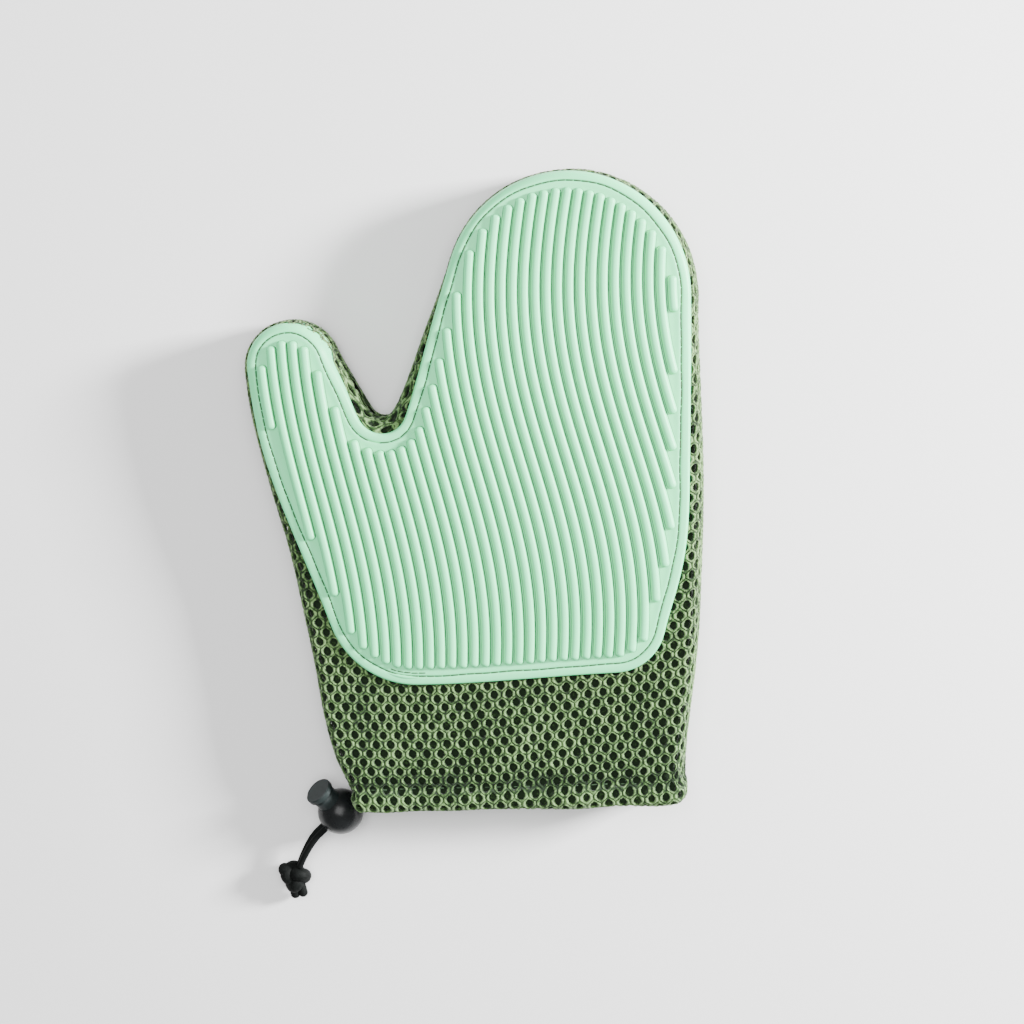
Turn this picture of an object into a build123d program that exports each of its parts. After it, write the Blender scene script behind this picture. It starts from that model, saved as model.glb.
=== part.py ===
"""Pet grooming glove: a mesh mitt with a ribbed silicone palm pad and a drawcord cuff.

The mitt lies on its back. +Z is up, out of the pad, +Y points to the finger tip and
the thumb is at -X. Z = 0 is the flat back. All lengths are in millimetres.
"""

import os
from math import pi, sin

from build123d import *

os.makedirs("parts", exist_ok=True)

# ------------------------------------------------------------ driving dimensions
MESH = 2.4  # thickness of the spacer mesh
MITT_HEIGHT = 23.5  # back to front, outside the mesh
SHOULDER = 5.0  # rounding of the mitt's outer edges
SEAM_Z = MITT_HEIGHT / 2  # height of the side seam
CUFF_Y = -120.0  # lower edge of the cuff
CUFF_LEFT = -57.6  # at the top of the hem
CUFF_CORNER = -54.0  # at the cuff's edge
CUFF_RIGHT = 73.0

HEM_TOP = CUFF_Y + 10.0  # upper edge of the folded hem band
FLAP = 5.2  # tunnel and inner layer together, inside the outer layer
TUNNEL = 3.2  # clear height of the cord tunnel
TUNNEL_LOW = CUFF_Y + 2.4  # the tunnel is closed by the fold below
TUNNEL_HIGH = HEM_TOP - 1.8  # and by the stitched edge above
FLAP_LENGTH = 101.0  # the folded hems stop short of the side seams
FLAP_MIDDLE = 8.5
HEM_THREAD_Y = HEM_TOP - 1.2
SLIT_LOW = 5.0  # the cord comes out through a slit in the side seam
SLIT_Y, SLIT_LENGTH = -115.6, 6.4

ALLOWANCE = 4.5  # width of the seam allowance inside the mitt
PRESSED = 1.2  # half the thickness of the pressed allowance
TAPE = 0.6  # binding tape round the allowance
TAPE_COVER = 2.5  # how far the tape reaches over it
TAPE_X, TAPE_WIDTH = -49.6, 3.4  # the tape's loose end, along X
TAPE_TOP = HEM_TOP + 2.2
TAPE_BOTTOM = CUFF_Y - 1.6
THREAD = 0.7
THREAD_BACK = 0.6  # seam thread, in from the lining
GAP = 0.1  # between touching pieces

PAD_BASE = 1.6  # flat skin of the pad
RIB_HEIGHT = 2.0
RIB_WIDTH = 2.7
RIB_PITCH = 4.242
RIB_NUMBERS = range(-2, 37)  # counted from the left; the outermost miss the pad
RIB_START = -61.7  # middle of rib 0, without its lean and wave, at Y = 0
RIB_LEAN, LEAN_STEP = -0.0264, 0.00059  # of rib 0, and the change from rib to rib
WAVE, WAVE_GROWTH = 5.89, 0.0912  # sideways swing of rib 0, and its growth
WAVE_FROM, WAVE_STEP = 3.73, 0.4778  # Y where rib 0's wave starts, and its shift
HALF_WAVE = 105.17
RIB_INSET = 6.0  # bare rim outside the ribs
RIB_FROM, RIB_TO = -72.0, 122.0  # length along Y before the ribs are cut to the pad
SMALLEST_RIB = 22.0  # smallest rib footprint kept, in square millimetres
GROOVE_INSET = 3.5
GROOVE = 0.9
GROOVE_DEPTH = 0.6

CORD = 2.5  # diameter of the drawcord
LOCK_TO_EXIT = 9.5  # from the ball's centre back to where the cord leaves the hem
LOCK_TO_BEND = 18.5  # and on to the bend above the knot
BEND = 12.0  # radius of that bend
UPPER_IN, LOWER_IN = 5.8, 5.6  # straight runs just inside the exit
TUNNEL_START = (-45.5, -114.3)
TURN_RADIUS = 7.6
TURN_X = CUFF_RIGHT - MESH - CORD / 2 - 0.3
KNOT_UPPER, KNOT_LOWER = (-81.4, -145.6, 8.0), (-81.9, -145.2, 5.4)
KNOT_LUMPS = (
    ((-83.6, -150.6, 5.6), 5.3),
    ((-82.6, -147.6, 6.4), 4.2),
    ((-85.2, -152.6, 5.2), 4.7),
)
STUB = 1.6  # radius of the cut ends that stand out of the knot
STUBS = (
    ((-84.6, -151.4, 5.0), (-1, 0.15, -0.1), 6.2),
    ((-84.0, -152.6, 4.6), (0.12, -1, -0.1), 7.4),
)
PAIR = 1.4  # half the spacing of the two strands in the lock
FRONT_TUNNEL_Z = MITT_HEIGHT - MESH - TUNNEL / 2
BACK_TUNNEL_Z = MESH + TUNNEL / 2
TUNNEL_Y = (TUNNEL_LOW + TUNNEL_HIGH) / 2

BALL = 9.0  # radius of the lock's ball
BALL_AT = Vector(-62.9, -122.8, BALL)
TRAVEL = 2.2  # how far the plunger presses in
STEM = 4.8  # radius of the plunger
STEM_FIT = 0.15
HOLE_WIDTH = 5.9  # the plunger's cord hole, across the pair of strands
HOLE_LOW, HOLE_HIGH = -2.05, 2.05 + TRAVEL  # and along the plunger
MOUTH_WIDTH, MOUTH_HALF = 6.1, 2.6  # the ball's cord hole
STEM_END = -3.0
NECK = 4.3
HEAD = 5.6
HEAD_FACE = 14.6  # distance of the plunger's face from the ball's centre
HEAD_EDGE = 0.4
SLOT_CORNER = 1.5
BORE_FLOOR = -5.4
POCKET = 3.3  # radius of the spring's pocket below the bore
POCKET_FLOOR = -6.7
SPRING_WIRE = 0.45
SPRING_RADIUS = 2.7
SPRING_TURNS = 2.2
SPRING_GAP = 0.3  # from each end face to the wire's centre line

# The cord runs level through the lock at 222 degrees in plan, and the plunger leans
# out at 123 degrees in plan, 30 degrees above the level.
CORD_RUN = Vector(1, 0, 0).rotate(Axis.Z, 222)
PUSH = Vector(1, 0, 0).rotate(Axis.Y, -30).rotate(Axis.Z, 123)
BORE_RUN = (CORD_RUN - PUSH * CORD_RUN.dot(PUSH)).normalized()
STRANDS_APART = CORD_RUN.cross(PUSH).normalized()
LOCK = Plane(origin=BALL_AT, x_dir=BORE_RUN, z_dir=PUSH)


# ------------------------------------------------------------ outlines in plan
# Both outlines run counterclockwise, and their curves meet tangent to each other.
with BuildLine() as mitt_outline:
    tip = CenterArc((38.75, 73), 47, -3, 163)
    crotch_start = CenterArc((-34.9, 38.1), 6.1, -33, -117, mode=Mode.PRIVATE)
    Spline(tip @ 1, (-16.7, 62.5), crotch_start @ 0, tangents=(tip % 1, crotch_start % 0))
    crotch = CenterArc((-34.9, 38.1), 6.1, -33, -117)
    thumb_start = CenterArc((-68.45, 52.7), 17.3, 22, 161, mode=Mode.PRIVATE)
    Spline(crotch @ 1, (-47.5, 49), thumb_start @ 0, tangents=(crotch % 1, thumb_start % 0))
    thumb = CenterArc((-68.45, 52.7), 17.3, 22, 161)
    hem_left = Line((CUFF_LEFT, HEM_TOP), (CUFF_CORNER, CUFF_Y))
    left_points = ((-83.4, 27), (-77.6, 0), (-70.4, -38), (-65.6, -74))
    Spline(thumb @ 1, *left_points, hem_left @ 0, tangents=(thumb % 1, hem_left % 0))
    Line(hem_left @ 1, (CUFF_RIGHT, CUFF_Y))
    hem_right = Line((CUFF_RIGHT, CUFF_Y), (CUFF_RIGHT, HEM_TOP))
    right_points = ((77.2, -77), (82.4, -32), (85, 20))
    Spline(hem_right @ 1, *right_points, tip @ 0, tangents=((0, 1), tip % 0))

with BuildLine() as pad_outline:
    tip = CenterArc((38.5, 74), 45.3, -2, 162)
    crotch_start = CenterArc((-33.3, 36), 9.7, -22, -133, mode=Mode.PRIVATE)
    Spline(tip @ 1, (-15.1, 58), crotch_start @ 0, tangents=(tip % 1, crotch_start % 0))
    crotch = CenterArc((-33.3, 36), 9.7, -22, -133)
    thumb_start = CenterArc((-67.5, 53.5), 16, 15, 169, mode=Mode.PRIVATE)
    Spline(crotch @ 1, (-46.8, 44.5), thumb_start @ 0, tangents=(crotch % 1, thumb_start % 0))
    thumb = CenterArc((-67.5, 53.5), 16, 15, 169)
    left_points = ((-80.9, 27.8), (-72.8, -2.5))
    low_left_start = CenterArc((-25.8, -36), 33.8, 197, 72, mode=Mode.PRIVATE)
    Spline(thumb @ 1, *left_points, low_left_start @ 0, tangents=(thumb % 1, low_left_start % 0))
    low_left = CenterArc((-25.8, -36), 33.8, 197, 72)
    low_right_start = CenterArc((49.3, -47.7), 19.7, 271, 74, mode=Mode.PRIVATE)
    Spline(low_left @ 1, low_right_start @ 0, tangents=(low_left % 1, low_right_start % 0))
    low_right = CenterArc((49.3, -47.7), 19.7, 271, 74)
    right_points = ((75.7, -30), (80.7, 12))
    Spline(low_right @ 1, *right_points, tip @ 0, tangents=(low_right % 1, tip % 0))


def moved_in(edge, place, distance):
    """The point at that place along an edge, moved to the edge's left."""
    along = edge % place
    return edge @ place + Vector(-along.Y, along.X) * distance


def inside(outline, distance):
    """The face inside an outline, with its edge moved in but its lowest line kept."""
    with BuildSketch() as smaller:
        with BuildLine():
            for edge in outline.edges():
                start, middle, end = [moved_in(edge, place, distance) for place in (0, 0.5, 1)]
                if edge.geom_type == GeomType.CIRCLE:
                    ThreePointArc(start, middle, end)
                elif edge.geom_type == GeomType.BSPLINE:
                    stations = [moved_in(edge, step / 8, distance) for step in range(1, 8)]
                    Spline(start, *stations, end, tangents=(edge % 0, edge % 1))
                elif abs((edge @ 0).Y - CUFF_Y) < 0.01 and abs((edge @ 1).Y - CUFF_Y) < 0.01:
                    Line((CUFF_CORNER + distance, CUFF_Y), (CUFF_RIGHT - distance, CUFF_Y))
                elif abs((edge @ 1).Y - CUFF_Y) < 0.01:
                    Line(start, (CUFF_CORNER + distance, CUFF_Y))
                elif abs((edge @ 0).Y - CUFF_Y) < 0.01:
                    Line((CUFF_RIGHT - distance, CUFF_Y), end)
                else:
                    Line(start, end)
        make_face()
    return smaller.sketch


def band(outline, outer, inner, low, high):
    """A flat ring between two insets of an outline, from one height to another."""
    outer_edge = inside(outline, outer)
    inner_edge = inside(outline, inner)
    with BuildPart() as ring:
        with BuildSketch(Plane.XY.offset(low)):
            add(outer_edge)
            add(inner_edge, mode=Mode.SUBTRACT)
        extrude(amount=high - low)
    return ring.part


# ------------------------------------------------------------ mesh panels
mitt_shape = inside(mitt_outline, 0)
lining = inside(mitt_outline, MESH)
with BuildPart() as cavity:
    with BuildSketch(Plane.XY.offset(MESH)):
        add(lining)
    extrude(amount=MITT_HEIGHT - 2 * MESH)
    rims = cavity.faces().filter_by(Plane.XY).edges().sort_by(Axis.Y)
    fillet(rims[2:], SHOULDER - MESH)
    mouth_middle = Vector((CUFF_CORNER + CUFF_RIGHT) / 2, CUFF_Y, MESH)
    with BuildSketch(Plane(mouth_middle)):
        Rectangle(CUFF_RIGHT - CUFF_CORNER - 2 * MESH, 4 * MESH)
    extrude(amount=MITT_HEIGHT - 2 * MESH)

# the seam allowances, pressed flat together inside the mitt
tape_edge = MESH + ALLOWANCE
pressed_edges = band(mitt_outline, MESH / 2, tape_edge, SEAM_Z - PRESSED, SEAM_Z + PRESSED)
with BuildPart() as allowances:
    add(pressed_edges)
    split(bisect_by=Plane.XZ.offset(-HEM_TOP - 1), keep=Keep.BOTTOM)


with BuildPart() as mitt:
    with BuildSketch():
        add(mitt_shape)
    extrude(amount=MITT_HEIGHT)
    rims = mitt.faces().filter_by(Plane.XY).edges().sort_by(Axis.Y)
    fillet(rims[2:], SHOULDER)
    add(cavity.part, mode=Mode.SUBTRACT)
    add(allowances.part)
    # each hem is folded inward and holds a cord tunnel against the outer layer
    for flap_z, tunnel_z in (
        (MESH, MESH),
        (MITT_HEIGHT - MESH - FLAP, MITT_HEIGHT - MESH - TUNNEL),
    ):
        with BuildSketch(Plane.XY.offset(flap_z)):
            with Locations((FLAP_MIDDLE, (CUFF_Y + HEM_TOP) / 2)):
                Rectangle(FLAP_LENGTH, HEM_TOP - CUFF_Y)
        extrude(amount=FLAP)
        with BuildSketch(Plane.XY.offset(tunnel_z)):
            with Locations((FLAP_MIDDLE, TUNNEL_Y)):
                Rectangle(FLAP_LENGTH, TUNNEL_HIGH - TUNNEL_LOW)
        extrude(amount=TUNNEL, mode=Mode.SUBTRACT)
    # a thread groove along the top of each hem
    for z, direction in ((MITT_HEIGHT, -1), (0, 1)):
        with BuildSketch(Plane.XY.offset(z)):
            with Locations((FLAP_MIDDLE, HEM_THREAD_Y)):
                Rectangle(FLAP_LENGTH, GROOVE)
        extrude(amount=direction * GROOVE_DEPTH, mode=Mode.SUBTRACT)

with BuildPart() as front_panel:
    add(mitt.part)
    split(bisect_by=Plane.XY.offset(SEAM_Z), keep=Keep.TOP)
front_panel.part.label = "front_panel"
export_step(front_panel.part, "parts/front_panel.step")

# the side seam is left open for a few millimetres, where the cord comes out
with BuildPart() as back_panel:
    add(mitt.part)
    split(bisect_by=Plane.XY.offset(SEAM_Z), keep=Keep.BOTTOM)
    with BuildSketch(Plane.XY.offset(SLIT_LOW)):
        with Locations(((CUFF_LEFT + CUFF_CORNER) / 2, SLIT_Y)):
            Rectangle(4 * MESH, SLIT_LENGTH)
    extrude(amount=SEAM_Z - SLIT_LOW, mode=Mode.SUBTRACT)
back_panel.part.label = "back_panel"
export_step(back_panel.part, "parts/back_panel.step")


# ------------------------------------------------------------ seam thread and binding tape
thread_edges = (MESH + THREAD_BACK, MESH + THREAD_BACK + THREAD)
thread_heights = (SEAM_Z + PRESSED, SEAM_Z - PRESSED - THREAD / 2)
thread_rows = [band(mitt_outline, *thread_edges, low, low + THREAD / 2) for low in thread_heights]
with BuildPart() as side_seam_thread:
    add(thread_rows)
    split(bisect_by=Plane.XZ.offset(-HEM_TOP - 1), keep=Keep.BOTTOM)
side_seam_thread.part.label = "side_seam_thread"
export_step(side_seam_thread.part, "parts/side_seam_thread.step")

tape_half = PRESSED + TAPE
tape_sides = (tape_edge - TAPE_COVER, tape_edge + TAPE)
tape = band(mitt_outline, *tape_sides, SEAM_Z - tape_half, SEAM_Z + tape_half)
with BuildPart() as seam_binding:
    add(tape)
    add(pressed_edges, mode=Mode.SUBTRACT)
    split(bisect_by=Plane.XZ.offset(-HEM_TOP - 1), keep=Keep.BOTTOM)
    # the tape's end runs down inside the cuff and shows at its corner
    with BuildSketch(Plane.XY.offset(MESH + GAP)):
        with Locations((TAPE_X, (TAPE_TOP + TAPE_BOTTOM) / 2)):
            Rectangle(TAPE_WIDTH, TAPE_TOP - TAPE_BOTTOM)
    extrude(amount=TAPE)
    with BuildSketch(Plane.XY.offset(MESH + GAP)):
        with Locations((TAPE_X, TAPE_TOP - TAPE / 2)):
            Rectangle(TAPE_WIDTH, TAPE)
    extrude(amount=SEAM_Z - PRESSED - TAPE / 2 - MESH)
seam_binding.part.label = "seam_binding"
export_step(seam_binding.part, "parts/seam_binding.step")


# ------------------------------------------------------------ hem thread
with BuildPart() as hem_stitching:
    for z in (MITT_HEIGHT - GROOVE_DEPTH, GAP):
        with BuildSketch(Plane.XY.offset(z)):
            with Locations((FLAP_MIDDLE, HEM_THREAD_Y)):
                Rectangle(FLAP_LENGTH - 1, THREAD)
        extrude(amount=GROOVE_DEPTH - GAP)
hem_stitching.part.label = "hem_stitching"
export_step(hem_stitching.part, "parts/hem_stitching.step")


# ------------------------------------------------------------ silicone pad
def rib_x(number, y):
    """Middle of one rib at height y: the ribs follow a slow sine up the pad."""
    wave = sin(pi * (y - WAVE_FROM - WAVE_STEP * number) / HALF_WAVE)
    swing = WAVE + WAVE_GROWTH * number
    lean = RIB_LEAN + LEAN_STEP * number
    return RIB_START + RIB_PITCH * number + lean * y - swing * wave


def rib_outline(number):
    """The two long sides of one rib before it is cut to the pad."""
    steps = 9
    heights = [RIB_FROM + (RIB_TO - RIB_FROM) * step / (steps - 1) for step in range(steps)]
    west = Spline(*[(rib_x(number, y) - RIB_WIDTH / 2, y) for y in heights])
    east = Spline(*[(rib_x(number, y) + RIB_WIDTH / 2, y) for y in heights])
    Line(west @ 0, east @ 0)
    Line(west @ 1, east @ 1)


with BuildSketch() as rib_field:
    for number in RIB_NUMBERS:
        with BuildLine():
            rib_outline(number)
        make_face()
pad_shape = inside(pad_outline, 0)
rib_edge = inside(pad_outline, RIB_INSET)
with BuildSketch() as ribs:
    add(rib_field.sketch)
    add(rib_edge, mode=Mode.INTERSECT)

rim_top = MITT_HEIGHT + PAD_BASE
groove_floor = rim_top - GROOVE_DEPTH
groove_sides = (GROOVE_INSET - GROOVE / 2, GROOVE_INSET + GROOVE / 2)
groove = band(pad_outline, *groove_sides, groove_floor, rim_top + 1)
with BuildPart() as silicone_pad:
    with BuildSketch(Plane.XY.offset(MITT_HEIGHT)):
        add(pad_shape)
    extrude(amount=PAD_BASE)
    with BuildSketch(Plane.XY.offset(rim_top)):
        add([rib for rib in ribs.faces() if rib.area > SMALLEST_RIB])
    extrude(amount=RIB_HEIGHT)
    add(groove, mode=Mode.SUBTRACT)
silicone_pad.part.label = "silicone_pad"
export_step(silicone_pad.part, "parts/silicone_pad.step")

thread_sides = (GROOVE_INSET - THREAD / 2, GROOVE_INSET + THREAD / 2)
pad_thread = band(pad_outline, *thread_sides, groove_floor, rim_top - GAP)
with BuildPart() as pad_stitching:
    add(pad_thread)
pad_stitching.part.label = "pad_stitching"
export_step(pad_stitching.part, "parts/pad_stitching.step")


# ------------------------------------------------------------ drawcord
def cord(points, radii):
    """A round cord along straight runs joined by tangent arcs."""
    print("cord radii", [round(radius, 2) for radius in radii])
    with BuildPart() as tube:
        with BuildLine():
            path = FilletPolyline(*points, radius=radii)
        with BuildSketch(Plane(path @ 0, z_dir=path % 0)):
            Circle(CORD / 2)
        sweep()
    expected = pi * (CORD / 2) ** 2 * path.length
    print("cord length", round(path.length, 2), "volume", round(tube.part.volume / expected, 4))
    return tube.part


upper = BALL_AT - STRANDS_APART * PAIR
lower = BALL_AT + STRANDS_APART * PAIR
upper_exit = upper - CORD_RUN * LOCK_TO_EXIT
lower_exit = lower - CORD_RUN * LOCK_TO_EXIT
loop_points = (
    upper_exit,
    upper_exit - CORD_RUN * UPPER_IN,
    (*TUNNEL_START, FRONT_TUNNEL_Z),
    (TURN_X, TUNNEL_Y, FRONT_TUNNEL_Z),
    (TURN_X, TUNNEL_Y, BACK_TUNNEL_Z),
    (*TUNNEL_START, BACK_TUNNEL_Z),
    lower_exit - CORD_RUN * LOWER_IN,
    lower_exit,
)
loop = cord(loop_points, (7.4, 7.4, TURN_RADIUS, TURN_RADIUS, 10, 7.4))
with BuildPart() as drawcord:
    add(loop)
drawcord.part.label = "drawcord"
export_step(drawcord.part, "parts/drawcord.step")

upper_points = (upper_exit, upper + CORD_RUN * LOCK_TO_BEND, KNOT_UPPER)
upper_strand = cord(upper_points, (BEND,))
with BuildPart() as drawcord_tail_upper:
    add(upper_strand)
drawcord_tail_upper.part.label = "drawcord_tail_upper"
export_step(drawcord_tail_upper.part, "parts/drawcord_tail_upper.step")

lower_points = (lower_exit, lower + CORD_RUN * LOCK_TO_BEND, KNOT_LOWER)
lower_strand = cord(lower_points, (BEND,))
with BuildPart() as drawcord_tail_lower:
    add(lower_strand)
drawcord_tail_lower.part.label = "drawcord_tail_lower"
export_step(drawcord_tail_lower.part, "parts/drawcord_tail_lower.step")

# the overhand knot, with the two cut ends standing out of it
with BuildPart() as cord_knot:
    for centre, radius in KNOT_LUMPS:
        with Locations(centre):
            Sphere(radius)
    for start, direction, length in STUBS:
        with BuildSketch(Plane(start, z_dir=direction)):
            Circle(STUB)
        extrude(amount=length)
    for strand in (drawcord_tail_upper, drawcord_tail_lower):
        add(strand.part, mode=Mode.SUBTRACT)
cord_knot.part.label = "cord_knot"
export_step(cord_knot.part, "parts/cord_knot.step")


# ------------------------------------------------------------ cord lock
with BuildPart(LOCK) as lock_housing:
    Sphere(BALL)
    with BuildSketch(LOCK.offset(BORE_FLOOR)):
        Circle(STEM + STEM_FIT)
    extrude(amount=2 * BALL, mode=Mode.SUBTRACT)
    with BuildSketch(LOCK.offset(POCKET_FLOOR)):
        Circle(POCKET)
    extrude(amount=BALL, mode=Mode.SUBTRACT)
    with BuildSketch(Plane(BALL_AT, x_dir=STRANDS_APART, z_dir=BORE_RUN)):
        RectangleRounded(MOUTH_WIDTH, 2 * MOUTH_HALF, SLOT_CORNER)
    extrude(amount=BALL + 1, both=True, mode=Mode.SUBTRACT)
lock_housing.part.label = "lock_housing"
export_step(lock_housing.part, "parts/lock_housing.step")

with BuildPart() as lock_plunger:
    with BuildSketch(Plane(BALL_AT, x_dir=BORE_RUN, z_dir=STRANDS_APART)):
        with BuildLine():
            Polyline(
                (0, STEM_END),
                (STEM, STEM_END),
                (STEM, HEAD_FACE - 3.6),
                (NECK, HEAD_FACE - 3.0),
                (NECK, HEAD_FACE - 2.4),
                (HEAD, HEAD_FACE - 1.9),
                (HEAD, HEAD_FACE - HEAD_EDGE),
                (HEAD - HEAD_EDGE, HEAD_FACE),
                (0, HEAD_FACE),
                (0, STEM_END),
            )
        make_face()
    revolve(axis=Axis(BALL_AT, PUSH))
    hole_middle = (HOLE_LOW + HOLE_HIGH) / 2
    with BuildSketch(Plane(BALL_AT + PUSH * hole_middle, x_dir=STRANDS_APART, z_dir=BORE_RUN)):
        RectangleRounded(HOLE_WIDTH, HOLE_HIGH - HOLE_LOW, SLOT_CORNER)
    extrude(amount=BALL, both=True, mode=Mode.SUBTRACT)
lock_plunger.part.label = "lock_plunger"
export_step(lock_plunger.part, "parts/lock_plunger.step")

with BuildPart() as lock_spring:
    spring_base = LOCK.offset(POCKET_FLOOR + SPRING_GAP)
    spring_height = STEM_END - POCKET_FLOOR - 2 * SPRING_GAP
    with BuildLine():
        coil = Helix(spring_height / SPRING_TURNS, spring_height, SPRING_RADIUS, spring_base.origin, PUSH)
    with BuildSketch(Plane(coil @ 0, z_dir=coil % 0)):
        Circle(SPRING_WIRE / 2)
    sweep(is_frenet=True)
lock_spring.part.label = "lock_spring"
export_step(lock_spring.part, "parts/lock_spring.step")

print("cord run", CORD_RUN, "push", PUSH)
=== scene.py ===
"""Looks of the pet grooming glove: mesh mitt, ribbed silicone pad, drawcord and cord lock.

Lengths are in millimetres until a mesh is made. +Z is up, out of the pad.
"""

from math import cos, pi, radians, sin, sqrt

import bpy
import numpy as np
from mathutils import Matrix, Vector, kdtree


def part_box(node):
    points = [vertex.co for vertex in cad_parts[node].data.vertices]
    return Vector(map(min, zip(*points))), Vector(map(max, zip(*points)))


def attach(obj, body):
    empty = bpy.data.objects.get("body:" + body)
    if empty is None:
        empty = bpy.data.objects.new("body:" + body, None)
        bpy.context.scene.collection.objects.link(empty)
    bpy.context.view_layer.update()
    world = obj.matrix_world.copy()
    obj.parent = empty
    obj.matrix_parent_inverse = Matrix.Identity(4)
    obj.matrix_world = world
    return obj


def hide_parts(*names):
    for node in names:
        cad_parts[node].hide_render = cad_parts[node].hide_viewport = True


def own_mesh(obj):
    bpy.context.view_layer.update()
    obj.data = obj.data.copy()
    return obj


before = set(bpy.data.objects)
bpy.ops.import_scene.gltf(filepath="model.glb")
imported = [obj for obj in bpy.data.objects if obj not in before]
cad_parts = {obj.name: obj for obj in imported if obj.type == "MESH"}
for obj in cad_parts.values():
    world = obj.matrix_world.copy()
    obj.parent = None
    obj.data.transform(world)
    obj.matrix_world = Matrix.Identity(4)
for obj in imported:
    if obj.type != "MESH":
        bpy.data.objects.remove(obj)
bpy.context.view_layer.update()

MM = 0.001


def node_box(name):
    """Lowest and highest corner of a CAD node in millimetres."""
    low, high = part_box(name)
    return np.array(low) / MM, np.array(high) / MM


MITT_LOW, MITT_HIGH = node_box("back_panel")[0], node_box("front_panel")[1]
YARN_ROOM = 0.3  # kept free outside the woven surface, for its raised yarn
TOP = MITT_HIGH[2] - YARN_ROOM
BOTTOM = MITT_LOW[2] + YARN_ROOM
MIDDLE = (TOP + BOTTOM) / 2
CUFF_Y = MITT_LOW[1]
PAD_LOW, PAD_HIGH = node_box("silicone_pad")
HEM_THREAD_Y = (node_box("hem_stitching")[0][1] + node_box("hem_stitching")[1][1]) / 2

SHOULDER_OUT = 5.3  # how far the side wall stands out from the flat
SHOULDER_POWER = 2.6
SEAM_PINCH, SEAM_SPREAD = 0.9, 1.3  # how the side wall draws in at the seam
FOLD = 3.75  # radius of the folded hem
FOLD_THINNING = 2.2  # how much tighter the fold is at the side seam
FOLD_REACH = 8  # where it starts to tighten, in from the mitt's edge
FOLD_Y = CUFF_Y + FOLD
TUCK = 6.0  # cloth turned in past the fold
BORDER_BELOW = 28.0  # the mitt's edges are run on this far below the cuff
CLEARANCE = 0.15  # between the back's yarn and the floor
BACK_CALM = 0.35  # the back lies flatter than the front by this share

PITCH, ROW = 5.5, 3.6  # spacing of the mesh holes across, and of the staggered rows
HOLE = (1.4, 1.66)  # half width and half height of a hole
LINING_DEPTH = 2.1
FOLD_LINING = 0.95  # the lining is drawn up to this depth round the fold
ROW_SAG, SAG_CENTRE, SAG_WIDTH = 4.6, -22, 42  # how the mesh rows sag towards the cuff
CROTCH_LOW, CROTCH_HIGH = (-53, 20), (-16, 46)  # round the bottom of the gap at the thumb
CROTCH_STRETCH = 1.25  # the cells are packed closer round that tight bend
# Painted shade in the valley above the hem stitching: how dark, how far above the thread, and how
# wide.
HEM_PAINTED_SHADE, HEM_SHADE_UP, HEM_SHADE_WIDTH = 0.34, 1.6, 3.6  # the dark valley above the hem
# Painted light on the raised band of the hem below the stitching, and how far below the thread it
# starts.
BAND_PAINTED_LIGHT, BAND_DOWN = 0.16, 2  # the paler band of the hem itself
UNDER_PAD = 4.2  # the front's cells stop this far inside the pad's edge
SPLIT_Y = -32  # where each side's mesh is split in two pieces

# Mesh colours along its shade value: the pale green is the yarn's tone with painted light on the
# raised strands, and the darkest green is painted shade in the holes and on the lining.
GREEN_LIGHT = (0.16, 0.28, 0.10)
GREEN_MIDDLE = (0.024, 0.062, 0.012)
GREEN_PAINTED_SHADE = (0.003, 0.014, 0.0015)
# Silicone colours: mint on the rib tops and rim, and a deep green that is painted shade between
# the ribs.
MINT = (0.155, 0.84, 0.37)
MINT_PAINTED_SHADE = (0.012, 0.13, 0.035)
THREAD_GREEN = (0.022, 0.044, 0.014)
BLACK = (0.0025, 0.003, 0.0028)
SEAM_GREEN = (0.008, 0.026, 0.007)
TAPE_GREEN = (0.16, 0.42, 0.27)
LOCK_BLACK = (0.006, 0.0068, 0.0072)
PLUNGER_BLACK = (0.012, 0.017, 0.017)


# ------------------------------------------------------------ small helpers
def smooth(share):
    """0 to 1 with a soft start and end."""
    share = np.clip(share, 0, 1)
    return share * share * (3 - 2 * share)


def resampled(points, spacing):
    """Points at even spacing along an open line."""
    steps = np.sqrt((np.diff(points, axis=0) ** 2).sum(axis=1))
    along = np.concatenate([[0], np.cumsum(steps)])
    wanted = np.linspace(0, along[-1], max(2, round(along[-1] / spacing) + 1))
    return np.column_stack([np.interp(wanted, along, column) for column in points.T])


def averaged(points, reach, mode):
    """A running average over the neighbours, which takes out facets."""
    wide = np.pad(points, ((reach, reach), (0, 0)), mode=mode)
    weights = np.ones(2 * reach + 1) / (2 * reach + 1)
    return np.column_stack([np.convolve(column, weights, "valid") for column in wide.T])


def face_outline(node, height):
    """The longest edge loop of a node's level face at that height, counterclockwise."""
    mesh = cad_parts[node].data
    edges = set()
    for polygon in mesh.polygons:
        corners = [mesh.vertices[index].co / MM for index in polygon.vertices]
        if max(abs(corner.z - height) for corner in corners) > 0.02:
            continue
        keys = [(round(corner.x, 2), round(corner.y, 2)) for corner in corners]
        for start, end in zip(keys, keys[1:] + keys[:1]):
            if (end, start) in edges:
                edges.remove((end, start))
            elif start != end:
                edges.add((start, end))
    follow = dict(edges)
    loops = []
    while follow:
        loop = [next(iter(follow))]
        while loop[-1] in follow:
            loop.append(follow.pop(loop[-1]))
        loops.append(np.array(loop))
    longest = max(loops, key=lambda line: np.sqrt((np.diff(line, axis=0) ** 2).sum(axis=1)).sum())
    x, y = longest.T
    area = (x[:-1] * y[1:] - x[1:] * y[:-1]).sum()
    return longest if area > 0 else longest[::-1]


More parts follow.
